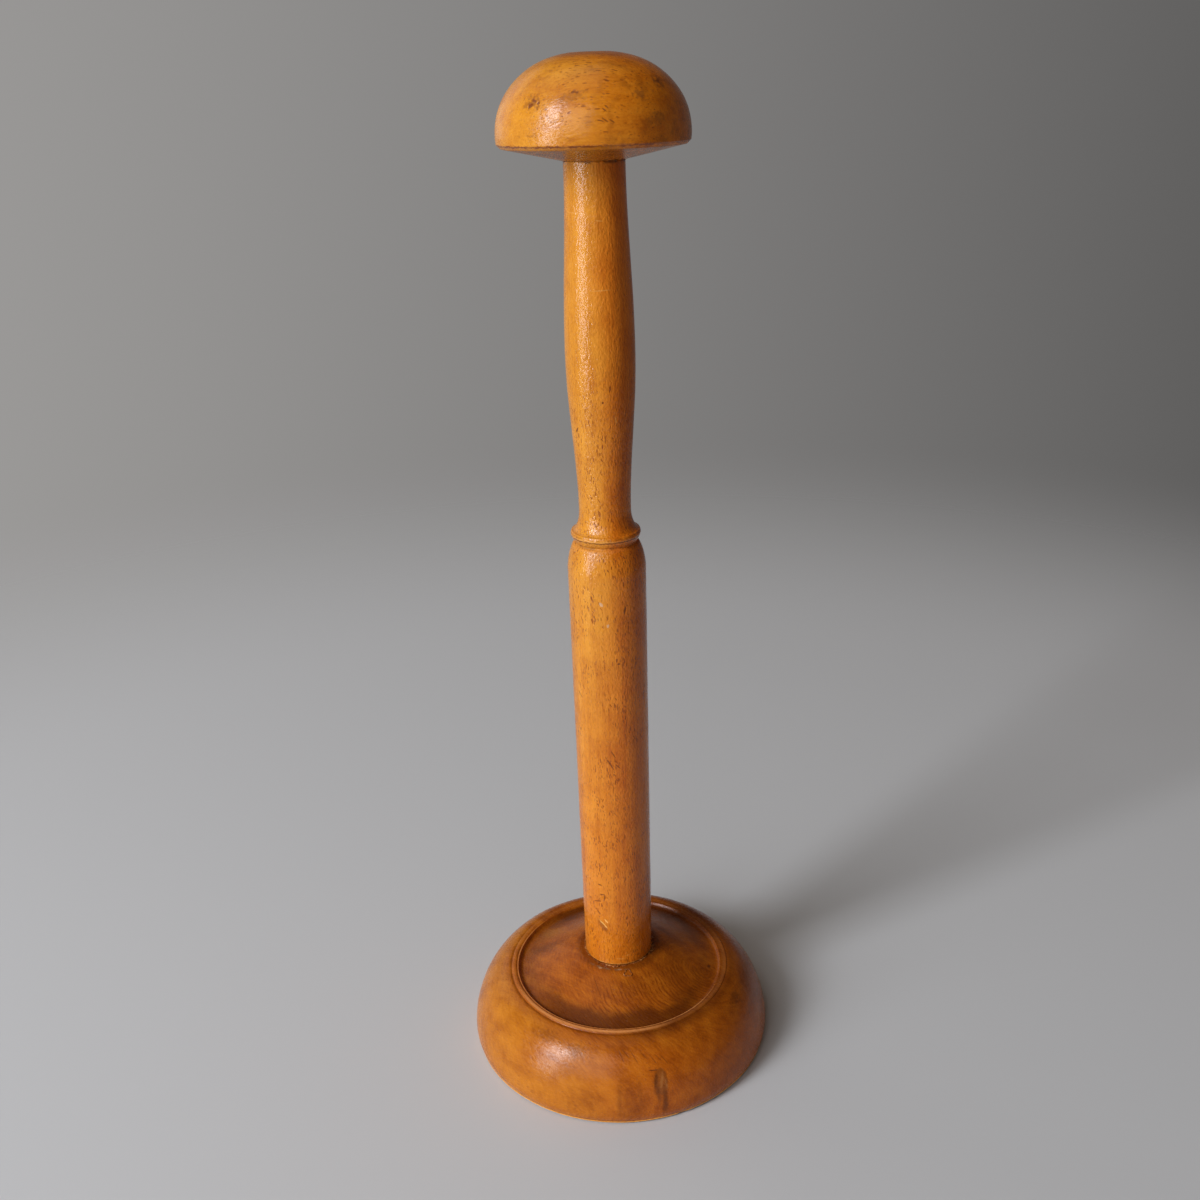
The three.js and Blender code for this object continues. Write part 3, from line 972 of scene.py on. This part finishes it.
def base_stains_and_shade(sh, top):
    """Soft dark stains on the shoulder and in the dish, a faint painted shadow of the column in
    the dish, and painted shade along the rim toward the right.
    """
    on_shoulder = marks(sh, on_base, (
        (-20, 25.8, 2.4, 3.4, 0, 0.8, 1.6, 0.5),
        (-36, 27, 2, 4.4, 0, 0.8, 1.6, 0.4),
        (-1.3, 11, 7, 1, 0, 0.8, 0.8, 0.45),
        (3, 9, 8, 5, 0, 0.5, 0.6, 0.3),
        (6, 12, 5.5, 1.2, 0, 0.8, 0.8, 0.4),
        (82, 22, 8, 12, 0, 0.7, 1.4, 0.35),
    ))
    dish_stains_and_shadow = marks(sh, on_top, (
        (64.5, 50.2, 2.2, 3.2, 0, 0.8, 1.6, 0.6),
        (-102, 31.5, 6.5, 2.6, 0, 0.8, 1, 0.7),
        # Painted shadow: the column's shadow on the dish, at its right.
        (66, 25, 9, 13, 0, 0.6, 1.4, 0.15),
        (10, 23, 4, 9, 0, 0.8, 1.2, 0.25),
    ))
    # Painted shade: the rim darker toward the shaded right.
    rim = sh.times(sh.band(sh.radius, 40.5, 47, 2), top, sh.step(sh.toward(80), -0.1, 0.6, 0, 0.75))
    return sh.strongest(on_shoulder, dish_stains_and_shadow, rim)


def front_knot(sh):
    """Layers of a teardrop knot on the shoulder: a dark edge, lighter heart lines and a tail."""
    far = sh.plus(sh.oval(FRONT_KNOT, 4.9, 2.4, 5), sh.swing(sh.grit(2.5, 3), 0.9))
    knot = sh.step(far, 0.7, 1.2, 1, 0)
    heart = marks(sh, on_base, (
        (14.8, 17.2, 2.6, 0.55, 14, 0.5, 0.6),
        (16.2, 15.4, 1.8, 0.4, -6, 0.5, 0.6),
    ))
    lines = marks(sh, on_base, (
        (12.4, 17, 3.6, 0.7, 10, 0.7, 0.5, 0.8),
        (15.3, 9, 5.5, 1.1, 4, 0.7, 0.4, 0.75),
        (12.8, 13, 4.5, 0.9, -8, 0.7, 0.4, 0.6),
    ))
    dark = sh.strongest(sh.times(sh.band(far, 0.8, 1, 0.2), 0.6), lines)
    return (knot, 0.8, KNOT), (heart, 0.7, KNOT_HEART), (dark, 1, KNOT_DARK)


def diagonal_line(sh, number):
    """One of a row of short dark grain lines that run down to the right on the front shoulder."""
    turn = -2 + 3.1 * number + 0.8 * math.sin(5 * number)
    height = 27.4 - 0.45 * number
    line_end = on_base(turn + 2.6, height - 2.6 - 0.7 * math.cos(3 * number))
    return sh.stroke(on_base(turn, height), line_end, 0.35, ragged=0.6, strength=0.6)


def base_scratches(sh):
    """Scores across the shoulder and the dish, the chip in the lower edge and the dish's knot."""
    scores = strokes(sh, on_base, ((10, 20.8, 14, 20.6, 0.4), (20.5, 1.4, 23.5, 1.2, 0.9)))
    dish_scores = strokes(sh, on_top, (
        (-31.5, 20.2, -14.4, 28.8, 0.3, 0.35, 0.5),
        (-14.4, 28.8, -6.8, 36.1, 0.3, 0.35, 0.4),
    ))
    lines = [diagonal_line(sh, number) for number in range(7)]
    return sh.strongest(scores, dish_scores, sh.mark(DISH_KNOT, 0.7, 0.8), *lines)


def glue_stain(sh, top):
    """Layers of a ragged line of old glue on the seat, a little in front of the column's foot."""
    front = sh.step(sh.toward(-16), 0.82, 0.95)
    broken = sh.step(sh.grit(1.5), 0.4, 0.55)
    line = sh.times(sh.band(sh.frayed(sh.radius, 0.5), 15.7, 16.4, 0.2), top, front, broken)
    lumps = marks(sh, on_top, ((-28, 16.4, 0.45, 0.8), (1, 16, 0.4, 0.9)), ragged=0.8)
    return (line, 0.8, GLUE_LINE), (lumps, 0.55, GLUE_LUMP)


def bead_wear(sh, top, whole):
    """Layers of bare wood where the rim's bead is worn and of a painted highlight on its ridge
    toward the lit front left, and of a darker fine line in the bead.
    """
    near = sh.frayed(sh.radius, 0.15)
    worn = sh.times(sh.band(near, 41.25, 41.7, 0.12), whole, 0.9)
    lit_front_left = sh.step(sh.toward(-22), 0.6, 0.95, 0.1, 0.85)
    # Painted highlight: the bead's ridge is pale toward the lit front left.
    ridge = sh.times(sh.band(sh.radius, 42.3, 43.5, 0.4), lit_front_left)
    line = sh.times(sh.band(near, 41.85, 42.05, 0.12), whole, 0.6)
    return (sh.strongest(worn, ridge), top, BARE_BEAD_AND_HIGHLIGHT), (line, top, DIRT_AND_SHADE)


def foot_wear(sh):
    """Layers of the worn lower edge, painted extra pale as a highlight, of painted shade in the
    crease above it and at the contact below it, and of the bare underside.
    """
    height = sh.frayed(sh.height, 0.25)
    # Worn lower edge, painted extra pale as a highlight.
    edge = sh.band(height, 0.8, 1.45, 0.2)
    # Painted shade in the crease above the edge and at the contact with the floor below it.
    crease = sh.times(sh.band(height, 1.7, 2, 0.25), 0.4)
    crease_and_contact_shade = sh.strongest(crease, sh.step(height, 0.5, 0.8, 0.9, 0))
    bare_wood = sh.mix(sh.grit(5, 4), UNDERSIDE_PALE, UNDERSIDE_DARK)
    underside = sh.step(sh.height, 0.02, 0.06, 1, 0)
    return (edge, 0.8, BARE_FOOT_AND_HIGHLIGHT), (crease_and_contact_shade, 1, DIRT_AND_SHADE), (underside, 0.9, bare_wood)


def base_wood():
    sh = Shader(bpy.data.materials.new("base_wood"))
    top = sh.step(sh.height, 20, 26)
    whole = sh.step(sh.toward(BEAD_WHOLE_TURN), -0.3, 0.5)
    tone, fine = base_grain(sh)
    flecks = sh.times(mixed_flecks(sh, BASE_GRAIN, 25, 0.6), sh.patchy(10, 0.2))
    scratches = base_scratches(sh)
    colour = sh.coated(
        base_ground(sh, top, tone),
        (flecks, 0.6, FLECK),
        *base_dirt_and_shade(sh, top, whole),
        (base_stains_and_shade(sh, top), 0.75, DIRT_AND_SHADE),
        *front_knot(sh),
        (scratches, 0.85, DIRT_AND_SHADE),
        # Painted light: a paler gold patch where the dish's left slope faces the light.
        (sh.mark(on_top(-122, 32.6), 4.4, 3.4, blur=0.7, ragged=0.8), 0.5, GOLDEN_LIT_PATCH),
        *glue_stain(sh, top),
        *bead_wear(sh, top, whole),
        *foot_wear(sh),
    )
    gloss = varnish(sh, BASE_GRAIN, 0.25, 0.06, fine, sh.strongest(flecks, scratches), DULL_GLOSS)
    return sh.finish(Base_Color=colour, **gloss)


def old_glue():
    sh = Shader(bpy.data.materials.new("old_glue"))
    grains = sh.grit(0.9, 3)
    dark, middle, pale = (0.13, 0.03, 0.004), (0.32, 0.095, 0.014), (0.56, 0.27, 0.09)
    colour = sh.ramp(grains, (0.4, dark), (0.56, middle), (0.68, pale))
    normal = sh.bump(grains, 0.1)
    return sh.finish(Base_Color=colour, Roughness=0.5, Normal=normal, Specular_IOR_Level=DULL_GLOSS)


# Pieces

def added(name, data):
    """A new object in the scene."""
    thing = bpy.data.objects.new(name, data)
    bpy.context.scene.collection.objects.link(thing)
    return thing


def dress(node, mesh, material):
    piece = added(mesh.name, mesh)
    mesh.materials.append(material)
    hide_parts(node)
    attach(piece, "root")


def knocks(turning, count, depth, size, seed):
    """Small seeded dents of everyday use, all round a turning."""
    generator = np.random.default_rng(seed)
    for _ in range(count):
        ring = generator.integers(len(turning.run))
        length, width = size * generator.uniform(0.6, 1.6, 2)
        turning.dent_at(ring, generator.uniform(-180, 180), depth * generator.uniform(0.4, 1),
                        length, width, generator.uniform(-90, 90))


def make_base():
    turning = Turning(BASE_OUTLINE, BASE_SEGMENTS)
    turning.wander(14, 0.08, 1)
    turning.wear_bead()
    turning.dent(22, 0.5, 0.7, 1.6, height=1)
    turning.dent(4, 0.15, 0.5, 0.7, height=4.2)
    turning.dent(-31, 0.2, 0.5, 0.8, radius=42.8)
    turning.dent(9, 0.2, 0.5, 0.7, radius=42.8)
    knocks(turning, 40, 0.1, 1.3, 11)
    dress("base", turning.mesh("base_turning"), base_wood())


def make_column():
    turning = Turning(COLUMN_OUTLINE, COLUMN_SEGMENTS)
    turning.wander(9, 0.05, 2)
    turning.dent(-25, 0.4, 2, 0.6, -45, height=55.6)
    turning.dent(-24, 0.25, 0.8, 1.6, -10, height=68)
    turning.dent(-29, 0.2, 0.9, 0.5, 10, height=74.3)
    turning.dent(-10, 0.15, 1, 0.5, height=184)
    knocks(turning, 60, 0.08, 0.9, 12)
    dress("column", turning.mesh("column_turning"), column_wood())


def make_head():
    turning = Turning(HEAD_OUTLINE, HEAD_SEGMENTS)
    turning.wander(11, 0.08, 3)
    knocks(turning, 30, 0.08, 1.1, 13)
    dress("head", turning.mesh("head_turning"), head_wood())


def glue_bead(column_radius, ring, seat, rise):
    """An uneven bead of glue in the corner between the column and a seat. It is thickest where
    more was squeezed out, and thins away to almost nothing between."""
    widest = radius_of(ring) - column_radius
    sections = []
    for way in map(way_at, angles_round(GLUE_SEGMENTS)):
        place = way * column_radius
        amount = 0.4 + noise.noise(place / 5) * 0.7 + noise.noise(place / 1.2) * 0.5
        amount = min(1, max(0.06, amount))
        section = []
        for outward, upward in GLUE_SECTION:
            reach = way * (column_radius - GLUE_LAP + widest * amount * outward)
            section.append((reach + Vector((0, 0, seat + rise * amount * upward))) * MM)
        sections.append(section if rise > 0 else section[::-1])
    return sections


def glue_drip(centre, frame_turn):
    """A drip of glue on the seat that dried as a thin raised loop."""
    out = -frame_turn.col[2]
    sections = []
    for angle in angles_round(DRIP_STEPS):
        way = frame_turn @ way_at(angle)
        waver = 1 + 0.2 * math.sin(3 * angle + 1)
        middle = centre + way * DRIP_REACH * waver
        sides = [way * math.cos(around) + out * math.sin(around) for around in angles_round(DRIP_CORNERS)]
        sections.append([(middle + side * DRIP_THICKNESS) * MM for side in sides])
    return sections


def make_glue(node, tubes, material):
    """A piece of closed tubes, each given as a ring of sections with as many points each."""
    vertices = []
    faces = []
    for sections in tubes:
        corners = np.arange(len(sections) * len(sections[0])).reshape(len(sections), -1)
        here = corners + len(vertices)
        after = np.roll(here, -1, 0)
        quads = np.stack([here, np.roll(here, -1, 1), np.roll(after, -1, 1), after], 2)
        faces += quads.reshape(-1, 4).tolist()
        vertices += [point for section in sections for point in section]
    mesh = bpy.data.meshes.new(node + "_bead")
    mesh.from_pydata(vertices, [], faces)
    mesh.shade_smooth()
    dress(node, mesh, material)


make_base()
make_column()
make_head()
glue = old_glue()
foot_glue = glue_bead(FOOT_RADIUS, "foot_glue_ring", SEAT_HEIGHT, GLUE_RISE)
head_glue = glue_bead(TOP_RADIUS, "head_glue_ring", HEAD_SEAT_HEIGHT, -GLUE_RISE)
make_glue("foot_glue_ring", [foot_glue, glue_drip(*on_top(10.7, 18))], glue)
make_glue("head_glue_ring", [head_glue], glue)


# Camera, fitted to the photograph

CAMERA_DISTANCE = 421.5
CAMERA_HEIGHT = 360.2
CAMERA_PITCH = 22.11
CAMERA_YAW = 0.39
CAMERA_ROLL = -1.94
CAMERA_LENS = 37.61
SENSOR_WIDTH = 36


def make_camera():
    data = bpy.data.cameras.new("camera")
    data.sensor_width = SENSOR_WIDTH
    data.lens = CAMERA_LENS
    data.clip_start = 0.01
    turn = Matrix.Rotation(math.radians(CAMERA_YAW), 4, "Z")
    tilt = Matrix.Rotation(math.radians(90 - CAMERA_PITCH), 4, "X")
    roll = Matrix.Rotation(math.radians(CAMERA_ROLL), 4, "Z")
    place = Matrix.Translation(Vector((0, -CAMERA_DISTANCE, CAMERA_HEIGHT)) * MM)
    camera = added("camera", data)
    camera.matrix_world = place @ turn @ tilt @ roll
    bpy.context.scene.camera = camera


# Stage, in metres: a pale floor that fades into a plain grey background

FLOOR_RADIUS = 3.0
FLOOR_CORNERS = 64
FADE_START = 0.4
FADE_END = 0.95
FLOOR_COLOUR = (0.63, 0.625, 0.62)

# The background's colour, its strengths, and the directions between which they change
BACKGROUND = (1, 0.975, 0.955)
STRENGTH_LEFT = 0.34
STRENGTH_RIGHT = 0.1
STRENGTH_ABOVE = 0.12
SIDEWAYS_REACH = 0.5
UPWARD_START = 0.1
UPWARD_END = 0.6

# The dim even light on the object, and the colour of daylight
AMBIENT = (0.068, 0.05, 0.033)
DAYLIGHT = (0.96, 1, 1.07)


def make_floor():
    rim = [way_at(angle) * FLOOR_RADIUS for angle in angles_round(FLOOR_CORNERS)]
    mesh = bpy.data.meshes.new("floor")
    mesh.from_pydata(rim, [], [tuple(range(FLOOR_CORNERS))])
    sh = Shader(bpy.data.materials.new("floor"))
    fade = sh.step(sh.length(sh.place), FADE_START, FADE_END)
    near = sh.add("BsdfDiffuse", {"Color": FLOOR_COLOUR})
    clear = sh.add("BsdfTransparent", {})
    mesh.materials.append(sh.show(sh.add("MixShader", {0: fade, 1: near, 2: clear})))
    floor = added("floor", mesh)


def make_world():
    """The camera, mirrors and clear pieces meet the background, and all else a dim light."""
    world = bpy.data.worlds.new("studio")
    bpy.context.scene.world = world
    sh = Shader(world, "Generated")
    across = sh.slope(sh.part("X"), -SIDEWAYS_REACH, SIDEWAYS_REACH, STRENGTH_LEFT, STRENGTH_RIGHT)
    upward = sh.slope(sh.part("Z"), UPWARD_START, UPWARD_END, 1, STRENGTH_ABOVE)
    light = sh.add("Background", {"Color": AMBIENT})
    seen = sh.add("Background", {"Color": BACKGROUND, "Strength": sh.times(across, upward)})
    rays = sh.add("LightPath", {}).node.outputs
    share = sh.strongest(rays["Is Camera Ray"], rays["Is Glossy Ray"], rays["Is Transmission Ray"])
    surface = sh.add("MixShader", {0: share, 1: light, 2: seen})
    sh.show(surface, "OutputWorld")


def area_lamp(name, turn, distance, height, size, radiance, aim, colour=(1, 1, 1)):
    """A rectangular lamp at a turn from the front and a distance and height in metres,
    aimed at a height on the stand. Its radiance is the brightness of its face."""
    data = bpy.data.lights.new(name, "AREA")
    data.shape = "RECTANGLE"
    data.size, data.size_y = size
    data.energy = radiance * math.pi * data.size * data.size_y
    data.color = colour
    lamp = added(name, data)
    lamp.location = way_at(math.radians(turn - 90)) * distance + Vector((0, 0, height))
    out = lamp.location - Vector((0, 0, aim))
    lamp.rotation_euler = out.to_track_quat("Z", "Y").to_euler()
    lamp.visible_camera = False


def make_lamps():
    """The lower and upper parts of a window at the left, a weaker one nearer the camera, and
    two faint lamps to fill in."""
    area_lamp("window", -55, 0.95, height=0.36, size=(0.24, 0.7), radiance=7.6, aim=0.3,
              colour=DAYLIGHT)
    area_lamp("window_top", -52, 3, height=2.1, size=(0.95, 1.42), radiance=15, aim=0.3,
              colour=DAYLIGHT)
    area_lamp("second_window", -28, 3, height=1.83, size=(2.5, 2.5), radiance=1.6, aim=0.2,
              colour=DAYLIGHT)
    area_lamp("overhead", -90, 0.4, height=1.5, size=(1.2, 1.2), radiance=0.4, aim=0.1)
    area_lamp("side", -135, 1.1, height=0.7, size=(0.8, 0.9), radiance=0.5, aim=0.2)


make_camera()
make_floor()
make_world()
make_lamps()

bpy.context.scene.view_settings.view_transform = "Standard"
